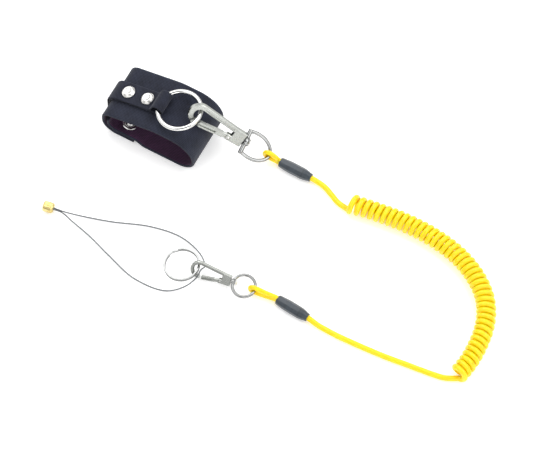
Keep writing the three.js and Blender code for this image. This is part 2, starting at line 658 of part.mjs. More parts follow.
const lowerHook = aimed(LOWER_THROAT, LOWER_AIM, LOWER_HOOK_ROLL);
makeHook('lower', LOWER_HOOK, lowerHook);
makePost('lower', LOWER_HOOK, LOWER_EYE.wireR, lowerHook);
const lowerEye = aimed(LOWER_THROAT, LOWER_AIM, LOWER_EYE_ROLL);
const lowerEyeEnd = lowerEye.localToWorld(new THREE.Vector3(makeLowerEye(lowerEye), 0, 0));

const splitRing = new THREE.Group();
splitRing.position.set(LOWER_THROAT.x - 0.9 - SPLIT_MID_R * Math.cos(SPLIT_LEAN), -103, 0);
splitRing.position.setZ(LOWER_THROAT.z - SPLIT_MID_R * Math.sin(SPLIT_LEAN));
splitRing.rotation.y = -SPLIT_LEAN;
model.add(splitRing);
makeSplitRing(splitRing);
makeToolWire(model);
makeCrimp();

makeSleeve('upper_sleeve', UPPER_SLEEVE);
makeSleeve('lower_sleeve', LOWER_SLEEVE);
makeLoop('upper_loop', upperEyeEnd, UPPER_EYE.wireR, UPPER_SLEEVE);
makeLoop('lower_loop', lowerEyeEnd, LOWER_EYE.wireR, LOWER_SLEEVE);
makeCord();

export default model;
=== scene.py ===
import math

import bmesh
import bpy
from mathutils import Matrix, Vector


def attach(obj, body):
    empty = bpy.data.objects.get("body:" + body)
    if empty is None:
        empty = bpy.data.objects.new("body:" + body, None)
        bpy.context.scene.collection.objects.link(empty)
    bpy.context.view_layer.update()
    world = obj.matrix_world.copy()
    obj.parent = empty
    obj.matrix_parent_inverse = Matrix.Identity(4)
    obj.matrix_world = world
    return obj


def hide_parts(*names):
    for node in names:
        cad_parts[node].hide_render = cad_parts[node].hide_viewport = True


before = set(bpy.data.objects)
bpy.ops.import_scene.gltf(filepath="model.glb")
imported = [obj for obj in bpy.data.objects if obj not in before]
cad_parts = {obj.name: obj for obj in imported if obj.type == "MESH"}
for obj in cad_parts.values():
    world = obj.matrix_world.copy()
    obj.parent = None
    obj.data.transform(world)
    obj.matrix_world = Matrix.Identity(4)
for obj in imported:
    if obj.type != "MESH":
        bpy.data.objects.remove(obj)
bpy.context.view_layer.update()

MM = 0.001

# ---- sizes, in millimetres

GAP = 0.3
ARC_STEP = 0.1  # radians

CUFF_WIDTH = 50
CUFF_LEFT = -44.5
CUFF_RIGHT = 41
CUFF_HEIGHT = 38.6
WEB_THICK = 2.4
SLOPE_ANGLE = 0.27
SLOPE_END_X = 3
FLAP_END_X = -15.4
LAP_SPACE = 2
JOGGLE_START_X = -6
JOGGLE_END_X = -13.2
LOW_CORNER_R = 12
HIGH_CORNER_R = 9
TOP_BEND_R = 30
TOP_RIGHT_R = 21
LOW_RIGHT_R = 14
JOGGLE_R = 6

TAB_WIDTH = 18
TAB_THICK = 1.3
TAB_EYE_S = 3
TAB_Y = -1
TAB_END_Z = 8
EYE_CLEARANCE = 0.9
RING_WIRE_R = 1.85
RING_MID_R = 17.4
RING_LEAN = 0.12
RING_INSET = 1
RING_RISE = RING_MID_R - math.sqrt(RING_MID_R ** 2 - (TAB_WIDTH / 2) ** 2)
EYE_INNER_R = RING_WIRE_R + RING_RISE / 2 + EYE_CLEARANCE
PLY_LOW = GAP + TAB_THICK / 2
PLY_HIGH = PLY_LOW + TAB_THICK + GAP
EYE_MID_R = EYE_INNER_R + TAB_THICK / 2
EYE_HEIGHT = PLY_LOW + EYE_MID_R

RIVET_HEAD_R = 5.4
RIVET_HEAD_HEIGHT = 2.6
RIVET_SHANK_R = 1.8
RIVET_PITCH = 18.3
RIVET_FIRST_S = 14.2
WASHER_R = 4.6
WASHER_THICK = 1.2

STUD_X = -24.2
STUD_SPREAD = 13
STUD_CAP_R = 6
STUD_FLANGE_R = 7
STUD_SOCKET_R = 4.6
STUD_SEAT_DEPTH = 1.4

WEB_STEPS_ACROSS = 34
WEB_STEPS_ROUND = 5

UPPER_HOOK = dict(
    throat_r=5, bar_width=4.4, thick=4.6, base_start=33, base_end=43.5, spine_half=6.6,
    gate_start=4.2, gate_width=4.2, gate_pivot=31.5, post_r=1.7, head_r=3.3, head_thick=1.8,
    head_gap=0.3)
LOWER_HOOK = dict(
    throat_r=4.5, bar_width=2.7, thick=3.2, base_start=19.6, base_end=27, spine_half=4.9,
    gate_start=3.3, gate_width=2.8, gate_pivot=18.6, post_r=1.2, head_r=2.3, head_thick=1.3,
    head_gap=0.8)
POST_DEPTH = 4.6
UPPER_EYE = dict(wire_r=1.5, bar_half=9.4, bar_r=1.9, reach=24)
LOWER_EYE = dict(wire_r=1.25, ring_r=9.2, boss_r=2.4)

CORD_R = 2.3
COIL_R = 8.1
CORD_IN_SLEEVE = 3
CORD_STEP = 1.5
COIL_PITCH = 5.1
COIL_DRAWN_OUT = 2
COIL_DRAWN_OUT_OVER = 8
COIL_PINCH = 4
COIL_PINCH_OVER = 1.2
COIL_SETTLE_OVER = 4
COIL_TURN_POINTS = 28
LOOP_R = 1.9
LOOP_SLACK = 0.7
LOOP_LEG_GAP = 0.15
LOOP_BELLY = 0.8
LOOP_BELLY_AT = 0.55
SLEEVE_LENGTH = 29
SLEEVE_R = 4.3
SLEEVE_END_R = 3.1
SLEEVE_MOUTH_R = 3.5
SLEEVE_HEIGHT = SLEEVE_R + 0.15

WIRE_R = 0.55
WIRE_LOW = WIRE_R + 0.2
WIRE_SPREAD = WIRE_R + 0.1
WIRE_IN_THROAT = Vector((1.4, 0.2, 0.2))
WIRE_LAY_LENGTH = 5.5
WIRE_GROOVE = 0.1
CRIMP_R = 4.6
CRIMP_LENGTH = 8.6
CRIMP_HOLE_R = 1.7
CRIMP_HOLE_DEPTH = 4.4
SPLIT_MID_R = 13.9
SPLIT_WIRE = 1.5
SPLIT_LEAN = 0.13
SPLIT_Y = -103
SPLIT_IN_THROAT = 0.9
SPLIT_TURN_GAP = 0.03

UPPER_THROAT = Vector((31.2, 2.8, 47))
UPPER_AIM = Vector((69.8, 10.8, 21))
UPPER_EYE_ROLL = 0.3
UPPER_HOOK_ROLL = 0.88
LOWER_THROAT = Vector((88.6, -100.4, 7.1))
LOWER_AIM = Vector((118.7, -96.6, 6.2))
LOWER_EYE_ROLL = 0.12
LOWER_HOOK_ROLL = 0.85
CRIMP_AT = Vector((-44.6, -109.9, CRIMP_R + 0.1))
CRIMP_HEADING = 0.17

# Routes on the surface, as the CAD has them.
UPPER_LEAD = [(127.05, 14.9), (133, 15.1), (140, 13.8), (147.8, 10.4), (155.5, 6.9), (165.6, 5.3)]
COIL_ROUTE = [
    (166.3, 8.6), (186.1, 11.9), (210.7, 14.6), (236.8, 14.2), (262, 9.6), (281, 1.2),
    (295.8, -10), (304.6, -21.8), (310.4, -36), (313.1, -52.3), (313.4, -68.2), (311.4, -82.4),
]
LOWER_LEAD = [
    (311.5, -85.4), (303, -87.2), (293.3, -89.2), (272.3, -91.7), (251, -94.2), (228.8, -95.7),
    (209.5, -96.4), (194.4, -95.9), (184.15, -94.85),
]
TOOL_WIRE_OUT = [
    (-23.3, -104.2, 1.7), (3.8, -95.6, WIRE_LOW), (33.9, -84, WIRE_LOW), (57.4, -80.1, WIRE_LOW),
    (73, -82.6, 1), (84.6, -88.6, 3), (90.6, -95.5, 5.2),
]
TOOL_WIRE_BACK = [
    (89.4, -107.6, 4.6), (84.2, -118, 2.2), (72.1, -127.6, WIRE_LOW), (45.4, -130, WIRE_LOW),
    (18.4, -122.4, WIRE_LOW), (-4.2, -114.8, WIRE_LOW), (-23.3, -110.4, 1.7),
]
UPPER_SLEEVE = dict(start=(97.7, 15.4), heading=-0.02)
LOWER_SLEEVE = dict(start=(154.9, -92.4), heading=-0.083)


# ---- lines and frames

def smooth_line(points, step):
    """A centripetal Catmull-Rom curve through the points, as points about a step apart."""
    points = [Vector(p) for p in points]
    ends = [2 * points[0] - points[1]] + points + [2 * points[-1] - points[-2]]
    line = []
    for a, b, c, d in zip(ends, ends[1:], ends[2:], ends[3:]):
        t1 = (b - a).length ** 0.5
        t2 = t1 + (c - b).length ** 0.5
        t3 = t2 + (d - c).length ** 0.5
        count = max(1, round((c - b).length / step))
        for n in range(count):
            t = t1 + (t2 - t1) * n / count
            ab = a.lerp(b, t / t1)
            bc = b.lerp(c, (t - t1) / (t2 - t1))
            cd = c.lerp(d, (t - t2) / (t3 - t2))
            abc = ab.lerp(bc, t / t2)
            bcd = bc.lerp(cd, (t - t1) / (t3 - t1))
            line.append(abc.lerp(bcd, (t - t1) / (t2 - t1)))
    line.append(points[-1])
    return line


def rounded_line(corners, step=1.2):
    """A line in X and Z through corners, each rounded by its own radius, points a step apart."""
    line = []
    for k, (x, z, radius) in enumerate(corners):
        corner = Vector((x, z))
        if not radius:
            line.append(corner)
            continue
        back = (Vector(corners[k - 1][:2]) - corner).normalized()
        ahead = (Vector(corners[k + 1][:2]) - corner).normalized()
        half = math.acos(max(-1, min(1, back.dot(ahead)))) / 2
        centre = corner + (back + ahead).normalized() * (radius / math.sin(half))
        spoke = corner + back * (radius / math.tan(half)) - centre
        turn = math.pi - 2 * half
        sweep_angle = math.copysign(turn, back.y * ahead.x - back.x * ahead.y)
        count = max(3, math.ceil(turn / ARC_STEP))
        for n in range(count + 1):
            line.append(centre + Matrix.Rotation(sweep_angle * n / count, 2) @ spoke)
    return evenly([Vector((p.x, 0, p.y)) for p in line], step)


def evenly(line, step):
    """The same line with no stretch longer than a step."""
    full = [line[0]]
    for a, b in zip(line, line[1:]):
        count = max(1, math.ceil((b - a).length / step))
        full += [a.lerp(b, n / count) for n in range(1, count + 1)]
    return full


def length_of(line):
    return sum((b - a).length for a, b in zip(line, line[1:]))


def aimed(origin, target, roll):
    """A frame at a point, its X axis aimed at another, rolled about that axis."""
    along = (target - origin).normalized()
    level = Vector((-along.y, along.x, 0)).normalized()
    side = level * math.cos(roll) + along.cross(level) * math.sin(roll)
    turn = Matrix((along, side, along.cross(side))).transposed().to_4x4()
    return Matrix.Translation(origin) @ turn


def on_slope(s, n):
    """A point over the cuff's sloping top: s along it from the level part, n out from it."""
    along = Vector((math.cos(SLOPE_ANGLE), math.sin(SLOPE_ANGLE)))
    return Vector((SLOPE_END_X, CUFF_HEIGHT)) + along * s + Vector((-along.y, along.x)) * n


def slope_at_left(n):
    """Where the slope, n out from the cuff, meets the cuff's left side, n out from it too."""
    x = CUFF_LEFT - n
    s = (x - on_slope(0, n).x) / math.cos(SLOPE_ANGLE)
    return x, on_slope(s, n).y


# ---- mesh makers

def circle(radius, sides):
    return [
        (radius * math.cos(2 * math.pi * k / sides), radius * math.sin(2 * math.pi * k / sides))
        for k in range(sides)
    ]


def new_piece(name, bm):
    """A smooth-shaded object made from a bmesh in millimetres."""
    bmesh.ops.recalc_face_normals(bm, faces=bm.faces)
    bmesh.ops.scale(bm, vec=(MM, MM, MM), verts=bm.verts)
    mesh = bpy.data.meshes.new(name)
    bm.to_mesh(mesh)
    bm.free()
    for face in mesh.polygons:
        face.use_smooth = True
    piece = bpy.data.objects.new(name, mesh)
    bpy.context.scene.collection.objects.link(piece)
    return piece


def swept(line, section, closed=False, first=(0, 0, 1)):
    """A bmesh tube: a section carried along a line. The section may be a function of the share
    of the way along. The uv map "lay" holds the distances along and around, in millimetres."""
    bm = bmesh.new()
    uv = bm.loops.layers.uv.new("lay")
    count = len(line)
    normal = Vector(first)
    travelled = [0.0]
    for a, b in zip(line, line[1:]):
        travelled.append(travelled[-1] + (b - a).length)
    total = travelled[-1] + ((line[0] - line[-1]).length if closed else 0)
    rows = []
    for k, point in enumerate(line):
        before = line[k - 1] if k or closed else line[0]
        after = line[(k + 1) % count] if k < count - 1 or closed else line[-1]
        tangent = (after - before).normalized()
        normal = (normal - tangent * normal.dot(tangent)).normalized()
        across = tangent.cross(normal)
        outline = section(travelled[k] / total) if callable(section) else section
        rows.append([bm.verts.new(point + normal * a + across * b) for a, b in outline])
    around = [0.0]
    flat = section(0.5) if callable(section) else section
    for k, (a, b) in enumerate(flat):
        c, d = flat[(k + 1) % len(flat)]
        around.append(around[-1] + math.hypot(c - a, d - b))
    sides = len(flat)
    for k in range(count if closed else count - 1):
        k2 = (k + 1) % count
        far = total if k2 == 0 else travelled[k2]
        for j in range(sides):
            j2 = (j + 1) % sides
            face = bm.faces.new((rows[k][j], rows[k][j2], rows[k2][j2], rows[k2][j]))
            places = [(travelled[k], around[j]), (travelled[k], around[j + 1]),
                      (far, around[j + 1]), (far, around[j])]
            for loop, place in zip(face.loops, places):
                loop[uv].uv = place
    if not closed:
        bm.faces.new(rows[0])
        bm.faces.new(reversed(rows[-1]))
    return bm


def eased(profile, share=0.16):
    """The profile with its corners cut back twice, as a polished part has them."""
    for _ in range(2):
        cut = [profile[0]]
        for a, b in zip(profile, profile[1:]):
            cut.append((a[0] + (b[0] - a[0]) * share, a[1] + (b[1] - a[1]) * share))
            cut.append((b[0] + (a[0] - b[0]) * share, b[1] + (a[1] - b[1]) * share))
        cut.append(profile[-1])
        profile = cut
    return profile


def turned(profile, segments=56, wave=None):
    """A bmesh of revolution about Z. The profile starts and ends on the axis, or closes on
    itself. wave(angle, height) scales the radius."""
    bm = bmesh.new()
    uv = bm.loops.layers.uv.new("lay")
    closed = profile[0] == profile[-1] and profile[0][0] > 0
    rows = []
    for radius, height in profile[:-1] if closed else profile:
        if radius < 1e-9:
            rows.append([bm.verts.new((0, 0, height))] * segments)
            continue
        row = []
        for k in range(segments):
            angle = 2 * math.pi * k / segments
            r = radius * (wave(angle, height) if wave else 1)
            row.append(bm.verts.new((r * math.cos(angle), r * math.sin(angle), height)))
        rows.append(row)
    if closed:
        rows.append(rows[0])
    for low, high in zip(rows, rows[1:]):
        for k in range(segments):
            k2 = (k + 1) % segments
            corners = []
            for v in (low[k], low[k2], high[k2], high[k]):
                if v not in corners:
                    corners.append(v)
            if len(corners) > 2:
                face = bm.faces.new(corners)
                for loop in face.loops:
                    x, y, z = loop.vert.co
                    loop[uv].uv = (z, math.hypot(x, y))
    return bm


def moved(bm, matrix):
    bmesh.ops.transform(bm, matrix=matrix, verts=bm.verts)
    return bm


def merged(*parts):
    """Several closed shells in one bmesh."""
    whole = parts[0]
    for part in parts[1:]:
        mesh = bpy.data.meshes.new("part")
        part.to_mesh(mesh)
        part.free()
        whole.from_mesh(mesh)
        bpy.data.meshes.remove(mesh)
    return whole


# ---- materials

def srgb(*values):
    """Linear colour from 0-255 screen values."""
    return tuple(((v / 255 + 0.055) / 1.055) ** 2.4 if v > 10 else v / 3294 for v in values) + (1,)


WAVE_SCALE = 0.314  # a wave texture's scale for a period of 1


def set_stops(band, stops):
    """Gives a colour ramp its stops, each a position and a grey or a colour."""
    while len(band.elements) < len(stops):
        band.elements.new(0.5)
    for element, (position, colour) in zip(band.elements, stops):
        element.position = position
        element.color = colour if hasattr(colour, "__len__") else (colour,) * 3 + (1,)


class Finish:
    """A material with its shader, and short ways to add nodes."""

    def __init__(self, name, roughness, metallic=0.0, **sockets):
        self.material = bpy.data.materials.new(name)
        self.material.use_nodes = True
        self.nodes = self.material.node_tree.nodes
        self.links = self.material.node_tree.links
        self.shader = self.nodes["Principled BSDF"]
        self.shader.inputs["Roughness"].default_value = roughness
        self.shader.inputs["Metallic"].default_value = metallic
        for socket, value in sockets.items():
            self.shader.inputs[socket.replace("_", " ")].default_value = value

    def add(self, kind, links=None, **settings):
        node = self.nodes.new("ShaderNode" + kind)
        for name, value in settings.items():
            if name in node.inputs:
                node.inputs[name].default_value = value
            else:
                setattr(node, name, value)
        for socket, source in (links or {}).items():
            self.links.new(source, node.inputs[socket])
        return node

    def place(self, uv=False):
        """Where a point is: metres in the piece's own frame, or millimetres along and around."""
        if uv:
            return self.add("UVMap", uv_map="lay").outputs["UV"]
        return self.add("TexCoord").outputs["Object"]

    def noise(self, where, scale, detail=3.0):
        node = self.add("TexNoise", {"Vector": where}, Scale=scale, Detail=detail, Roughness=0.55)
        return node.outputs["Fac"]

    def wave(self, where, period, direction, distortion):
        """A sine wave, its period in the units of the place that it reads."""
        node = self.add("TexWave", {"Vector": where}, Scale=WAVE_SCALE / period,
                        Distortion=distortion, bands_direction=direction)
        return node.outputs["Fac"]

    def math(self, operation, a, b=None):
        node = self.add("Math", operation=operation)
        for socket, value in enumerate((a, b)):
            if value is None:
                continue
            if isinstance(value, (int, float)):
                node.inputs[socket].default_value = value
            else:
                self.links.new(value, node.inputs[socket])
        return node.outputs[0]

    def ramp(self, fac, stops):
        node = self.add("ValToRGB", {"Fac": fac})
        set_stops(node.color_ramp, stops)
        return node.outputs["Color"]

    def colour(self, source):
        self.links.new(source, self.shader.inputs["Base Color"])

    def rough(self, source):
        self.links.new(source, self.shader.inputs["Roughness"])

    def bump(self, height, strength, distance):
        node = self.add("Bump", {"Height": height}, Strength=strength, Distance=distance)
        self.links.new(node.outputs["Normal"], self.shader.inputs["Normal"])


def webbing_finish(name, dark, light, rib, width):
    """Ribbed nylon webbing: warp ribs along it, weft across, a painted highlight along one edge and
    faint wear.
    """
    f = Finish(name, 0.8, Sheen_Weight=0.08, Sheen_Roughness=0.5, Specular_IOR_Level=0.25)
    where = f.place(uv=True)
    ribs = f.wave(where, rib, "Y", 0.35)
    picks = f.wave(where, 0.75, "X", 0.5)
    lean = f.wave(where, 1.9, "DIAGONAL", 0.6)
    fuzz = f.noise(where, 5.5, 4)
    cloud = f.noise(where, 0.09, 3)
    weave = f.math("MULTIPLY", ribs, picks)
    height = f.math("ADD", f.math("MULTIPLY", weave, 0.9), f.math("MULTIPLY", lean, 0.1))
    height = f.math("ADD", height, f.math("MULTIPLY", fuzz, 0.25))
    tone = f.math("ADD", f.math("MULTIPLY", height, 0.55), f.math("MULTIPLY", cloud, 0.5))
    # painted highlight: the tone is raised within about 1.4 mm of one edge of the strip
    across = f.add("SeparateXYZ", {"Vector": where}).outputs["Y"]
    from_edge = f.math("ABSOLUTE", f.math("SUBTRACT", across, width))
    edge_highlight = f.math("SUBTRACT", 1, f.math("MULTIPLY", from_edge, 0.7))
    edge_highlight = f.math("MAXIMUM", edge_highlight, 0)
    tone = f.math("ADD", tone, f.math("MULTIPLY", edge_highlight, 0.7))
    f.colour(f.ramp(tone, [(0.18, dark), (0.95, light)]))
    f.rough(f.ramp(fuzz, [(0.2, 0.72), (0.8, 0.9)]))
    f.bump(height, 0.55, 0.00025)
    return f.material


def plated_finish(name, tint, low, high, tarnish, edge):
    """Bright plating: fine polishing marks and dull patches, greyer where it is seen edge on."""
    f = Finish(name, low, 1.0, Specular_Tint=(edge, edge, edge, 1))
    where = f.place()
    patches = f.noise(where, 240, 4)
    marks = f.noise(where, 2600, 2)
    dark = tuple(c * tarnish for c in tint[:3]) + (1,)
    f.colour(f.ramp(patches, [(0.25, dark), (0.6, tint)]))
    f.rough(f.ramp(f.math("MULTIPLY", patches, marks), [(0.1, low), (0.45, high)]))
    f.bump(marks, 0.05, 0.00002)
    return f.material


def cast_finish(name, tint):
    """Tumbled zinc casting: soft ripples, pits and a satin skin."""
    f = Finish(name, 0.3, 1.0, Specular_Tint=(0.3, 0.3, 0.3, 1))
    where = f.place()
    ripple = f.noise(where, 120, 1)
    pits = f.add("TexVoronoi", {"Vector": where}, Scale=1400).outputs["Distance"]
    dark = tuple(c * 0.82 for c in tint[:3]) + (1,)
    f.colour(f.ramp(ripple, [(0.3, dark), (0.62, tint)]))
    f.rough(f.ramp(ripple, [(0.3, 0.3), (0.7, 0.22)]))
    f.bump(f.math("ADD", ripple, f.math("MULTIPLY", pits, 0.02)), 0.02, 0.00003)
    return f.material


def cord_finish():
    """Polyurethane cord: saturated yellow, translucent at the skin, with faint draw lines."""
    f = Finish("yellow_polyurethane", 0.34, Subsurface_Weight=0.65, Subsurface_Scale=0.005,
               Coat_Weight=0.15, Coat_Roughness=0.25, Specular_IOR_Level=0.45)
    f.shader.inputs["Subsurface Radius"].default_value = (1.0, 0.55, 0.1)
    where = f.place(uv=True)
    cloud = f.noise(where, 0.12, 3)
    lines = f.wave(where, 0.9, "Y", 1.2)
    grain = f.noise(where, 3.2, 4)
    tone = f.math("ADD", f.math("MULTIPLY", cloud, 0.7), f.math("MULTIPLY", grain, 0.3))
    f.colour(f.ramp(tone, [
        (0.25, srgb(246, 204, 0)), (0.55, srgb(250, 217, 4)), (0.8, srgb(252, 226, 24)),
    ]))
    f.rough(f.ramp(grain, [(0.3, 0.3), (0.7, 0.46)]))
    f.bump(f.math("ADD", f.math("MULTIPLY", lines, 0.4), grain), 0.16, 0.00008)
    return f.material


def sleeve_finish():
    """Shrink sleeve: dark slate, half gloss, with fine drag lines along it and scuffs."""
    f = Finish("slate_sleeve", 0.32, Specular_IOR_Level=0.6, Coat_Weight=0.2, Coat_Roughness=0.3)
    where = f.place(uv=True)
    scuff = f.noise(where, 0.5, 5)
    drag = f.wave(where, 0.6, "Y", 2.5)
    f.colour(f.ramp(scuff, [
        (0.3, srgb(30, 38, 46)), (0.65, srgb(46, 57, 67)), (0.8, srgb(76, 88, 98)),
    ]))
    f.rough(f.ramp(scuff, [(0.3, 0.26), (0.75, 0.5)]))
    f.bump(f.math("ADD", f.math("MULTIPLY", drag, 0.3), scuff), 0.2, 0.0001)
    return f.material


def brass_finish():
    """Turned brass, a little tarnished, with fine tool marks."""
    f = Finish("brass", 0.28, 1.0)
    where = f.place()
    patches = f.noise(where, 300, 4)
    marks = f.noise(where, 1800, 2)
    f.colour(f.ramp(patches, [
        (0.3, srgb(192, 168, 98)), (0.55, srgb(224, 204, 140)), (0.75, srgb(238, 226, 172)),
    ]))
    f.rough(f.ramp(marks, [(0.3, 0.22), (0.7, 0.42)]))
    f.bump(marks, 0.2, 0.00005)
    return f.material


def wire_finish():
    """Bright drawn wire, with grey lubricant in the lay."""
    f = Finish("stranded_steel", 0.38, 1.0)
    where = f.place(uv=True)
    drawn = f.noise(where, 1.5, 3)
    f.colour(f.ramp(drawn, [(0.3, srgb(84, 87, 90)), (0.7, srgb(150, 153, 156))]))
    f.rough(f.ramp(drawn, [(0.3, 0.5), (0.7, 0.28)]))
    f.bump(drawn, 0.15, 0.00003)
    return f.material


def floor_finish():
    """White paper, faintly lit from within."""
    f = Finish("paper_ground", 0.9, Specular_IOR_Level=0.1, Emission_Color=(1, 1, 1, 1),
               Emission_Strength=0.28)
    fibres = f.noise(f.place(), 900, 2)
    f.colour(f.ramp(fibres, [(0.2, (0.93, 0.93, 0.93, 1)), (0.8, (0.95, 0.95, 0.95, 1))]))
    return f.material


WEBBING = webbing_finish("navy_webbing", srgb(13, 14, 22), srgb(56, 61, 80), 1.25, CUFF_WIDTH)
# painted shade: a purple-tinted copy of the webbing for the cuff's inner faces, standing in for how its
# shaded inside looks
SHADED_INSIDE_WEBBING = webbing_finish("inside_shade_webbing", srgb(24, 14, 28), srgb(92, 56, 92), 1.25, CUFF_WIDTH)
TAB_WEBBING = webbing_finish("navy_tape", srgb(12, 13, 21), srgb(54, 58, 76), 0.9, TAB_WIDTH)
PLATED = plated_finish("bright_nickel", (0.8, 0.8, 0.79, 1), 0.06, 0.14, 0.86, 0.12)
GREY_PLATED = plated_finish("grey_nickel", (0.4, 0.405, 0.4, 1), 0.08, 0.18, 0.8, 0.1)
RIVET_PLATED = plated_finish("satin_nickel", (0.93, 0.92, 0.89, 1), 0.24, 0.4, 0.84, 0.35)
CAST_ZINC = cast_finish("cast_zinc", (0.54, 0.555, 0.525, 1))
YELLOW = cord_finish()
SLEEVE = sleeve_finish()
BRASS = brass_finish()
STEEL_WIRE = wire_finish()


def finish(piece, body, slot, material, *nodes):
    """Material and body of a new piece, and the CAD nodes that it stands for. The slot is not used."""
    piece.data.materials.clear()
    piece.data.materials.append(material)
    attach(piece, body)
    if nodes:
        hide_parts(*nodes)
    return piece


# ---- camera, light and ground

VIEW_FROM = Vector((0.2124, -0.3832, 0.899)).normalized()
VIEW_AT = Vector((0.117, -0.036, 0.0))
MIRRORED = Vector((-VIEW_FROM.x, -VIEW_FROM.y, VIEW_FROM.z))  # where level bright faces look
VIEW_DISTANCE = 3.6
LENS = 300


def make_camera():
    data = bpy.data.cameras.new("camera")
    data.lens = LENS
    data.sensor_width = 36
    camera = bpy.data.objects.new("camera", data)
    camera.location = VIEW_AT + VIEW_FROM * VIEW_DISTANCE
    camera.rotation_euler = VIEW_FROM.to_track_quat("Z", "Y").to_euler()
    bpy.context.scene.collection.objects.link(camera)
    bpy.context.scene.camera = camera


def make_light(name, place, size, energy):
    data = bpy.data.lights.new(name, "AREA")
    data.shape = "RECTANGLE"
    data.size, data.size_y = size
    data.energy = energy
    light = bpy.data.objects.new(name, data)
    light.location = place
    light.rotation_euler = (Vector(place) - VIEW_AT).to_track_quat("Z", "Y").to_euler()
    bpy.context.scene.collection.objects.link(light)


def make_world():
    """A white room, dark near the horizon and round the camera, for metal faces to reflect."""
    world = bpy.data.worlds.new("studio")
    bpy.context.scene.world = world
    world.use_nodes = True
    nodes, links = world.node_tree.nodes, world.node_tree.links
    where = nodes.new("ShaderNodeTexCoord").outputs["Generated"]

    def shade(direction, stops):
        """Brightness by the cosine to a fixed direction of the room."""
        dot = nodes.new("ShaderNodeVectorMath")
        dot.operation = "DOT_PRODUCT"
        dot.inputs[1].default_value = direction
        links.new(where, dot.inputs[0])
        ramp = nodes.new("ShaderNodeValToRGB")
        links.new(dot.outputs["Value"], ramp.inputs["Fac"])
        set_stops(ramp.color_ramp, stops)
        return ramp.outputs["Color"]

    room = shade((0, 0, 1), [(0.0, 0.03), (0.18, 0.06), (0.34, 0.75), (0.55, 1.0)])
    gap = shade(VIEW_FROM, [(0.0, 1.0), (0.9, 1.0), (0.94, 0.05)])
    card = shade(MIRRORED, [(0.0, 1.0), (0.9, 1.0), (0.97, 0.8)])
    light = room
    for part in (gap, card):
        product = nodes.new("ShaderNodeVectorMath")
        product.operation = "MULTIPLY"
        links.new(light, product.inputs[0])
        links.new(part, product.inputs[1])
        light = product.outputs["Vector"]
    links.new(light, nodes["Background"].inputs["Color"])
    nodes["Background"].inputs["Strength"].default_value = 1.35
    bpy.context.scene.view_settings.view_transform = "Standard"


def make_lights():
    make_light("key", place=(-0.7, 0.7, 1.4), size=(1.3, 1.3), energy=9)
    make_light("fill", place=(1.1, 0.4, 1.3), size=(1.2, 1.2), energy=6)
    make_light("front", place=(0.9, -1.0, 0.42), size=(0.9, 0.6), energy=3)


def make_floor():
    bm = bmesh.new()
    bmesh.ops.create_grid(bm, x_segments=8, y_segments=8, size=40000)
    floor = new_piece("ground", bm)
    floor.location = (0.13, -0.05, -0.0001)
    floor.data.materials.append(floor_finish())


# ---- cords

def sleeve_axis(sleeve):
    """A sleeve's mouth, the direction it runs in, and its far end."""
    heading = sleeve["heading"]
    ahead = Vector((math.cos(heading), math.sin(heading), 0))
    mouth = Vector((*sleeve["start"], SLEEVE_HEIGHT))
    return mouth, ahead, mouth + ahead * SLEEVE_LENGTH


def coil_line():
    """The curly stretch: a helix round the coil's route. Its pitch starts close, is drawn out in
    the first turns and settles to COIL_PITCH. It starts at the lead's end and ends at the bottom."""
    route = smooth_line([(x, y, COIL_R) for x, y in COIL_ROUTE], 0.5)
    route = evenly(route, 0.25)
    wound_r = COIL_R - CORD_R
    lead_end = Vector((*UPPER_LEAD[-1], CORD_R))
    up = Vector((0, 0, 1))

    def side_at(k):
        along = route[min(k + 1, len(route) - 1)] - route[max(k - 1, 0)]
        return along.normalized().cross(up).normalized()

    offset = lead_end - route[0]
    start_angle = math.atan2(offset.z, offset.dot(side_at(0)))
    start_r = math.hypot(offset.z, offset.dot(side_at(0)))

    def rate(s):
        """Turns for each millimetre of the route."""
        drawn_out = COIL_DRAWN_OUT * math.exp(-s / COIL_DRAWN_OUT_OVER)
        pinch = COIL_PINCH * math.exp(-s / COIL_PINCH_OVER)
        return 1 / (COIL_PITCH + drawn_out - pinch)

    gone = [0.0]
    turns = [0.0]
    for a, b in zip(route, route[1:]):
        step = (b - a).length
        turns.append(turns[-1] + rate(gone[-1] + step / 2) * step)
        gone.append(gone[-1] + step)
    end_angle = -math.pi / 2
    wanted = round(turns[-1] - (end_angle - start_angle) / (2 * math.pi))
    total = wanted + (end_angle - start_angle) / (2 * math.pi)
    stretch = total / turns[-1]
    line = []
    k = 0
    for n in range(1, int(total * COIL_TURN_POINTS) + 1):
        turn = n / COIL_TURN_POINTS / stretch
        while k < len(turns) - 2 and turns[k + 1] < turn:
            k += 1
        share = min(1, (turn - turns[k]) / (turns[k + 1] - turns[k]))
        centre = route[k].lerp(route[k + 1], share)
        angle = start_angle + 2 * math.pi * turn * stretch
        settle = math.exp(-gone[k] / COIL_SETTLE_OVER)
        radius = wound_r + (start_r - wound_r) * settle
        across = side_at(k) * (radius * math.cos(angle))
        line.append(centre + across + up * (radius * math.sin(angle)))
    return line


def make_main_cord():
    """One cord from sleeve to sleeve: a lead, the coil and a lead."""
    _, ahead, sleeve_end = sleeve_axis(UPPER_SLEEVE)
    upper = [sleeve_end - ahead * CORD_IN_SLEEVE, sleeve_end]
    upper += [Vector((x, y, CORD_R)) for x, y in UPPER_LEAD[1:]]
    _, ahead, lower_end = sleeve_axis(LOWER_SLEEVE)
    lower = [Vector((x, y, CORD_R)) for x, y in LOWER_LEAD[1:-1]]
    lower += [lower_end, lower_end - ahead * CORD_IN_SLEEVE]
    helix = coil_line()
    line = smooth_line(upper, CORD_STEP) + helix[:-1] + smooth_line([helix[-1]] + lower, CORD_STEP)
    for point in line:
        point.z = max(point.z, CORD_R)
    bm = swept(line, circle(CORD_R, 20))
    cord = finish(new_piece("curly_cord", bm), "cord", "yellow_cord", YELLOW,
                  "coil", "upper_lead", "lower_lead")


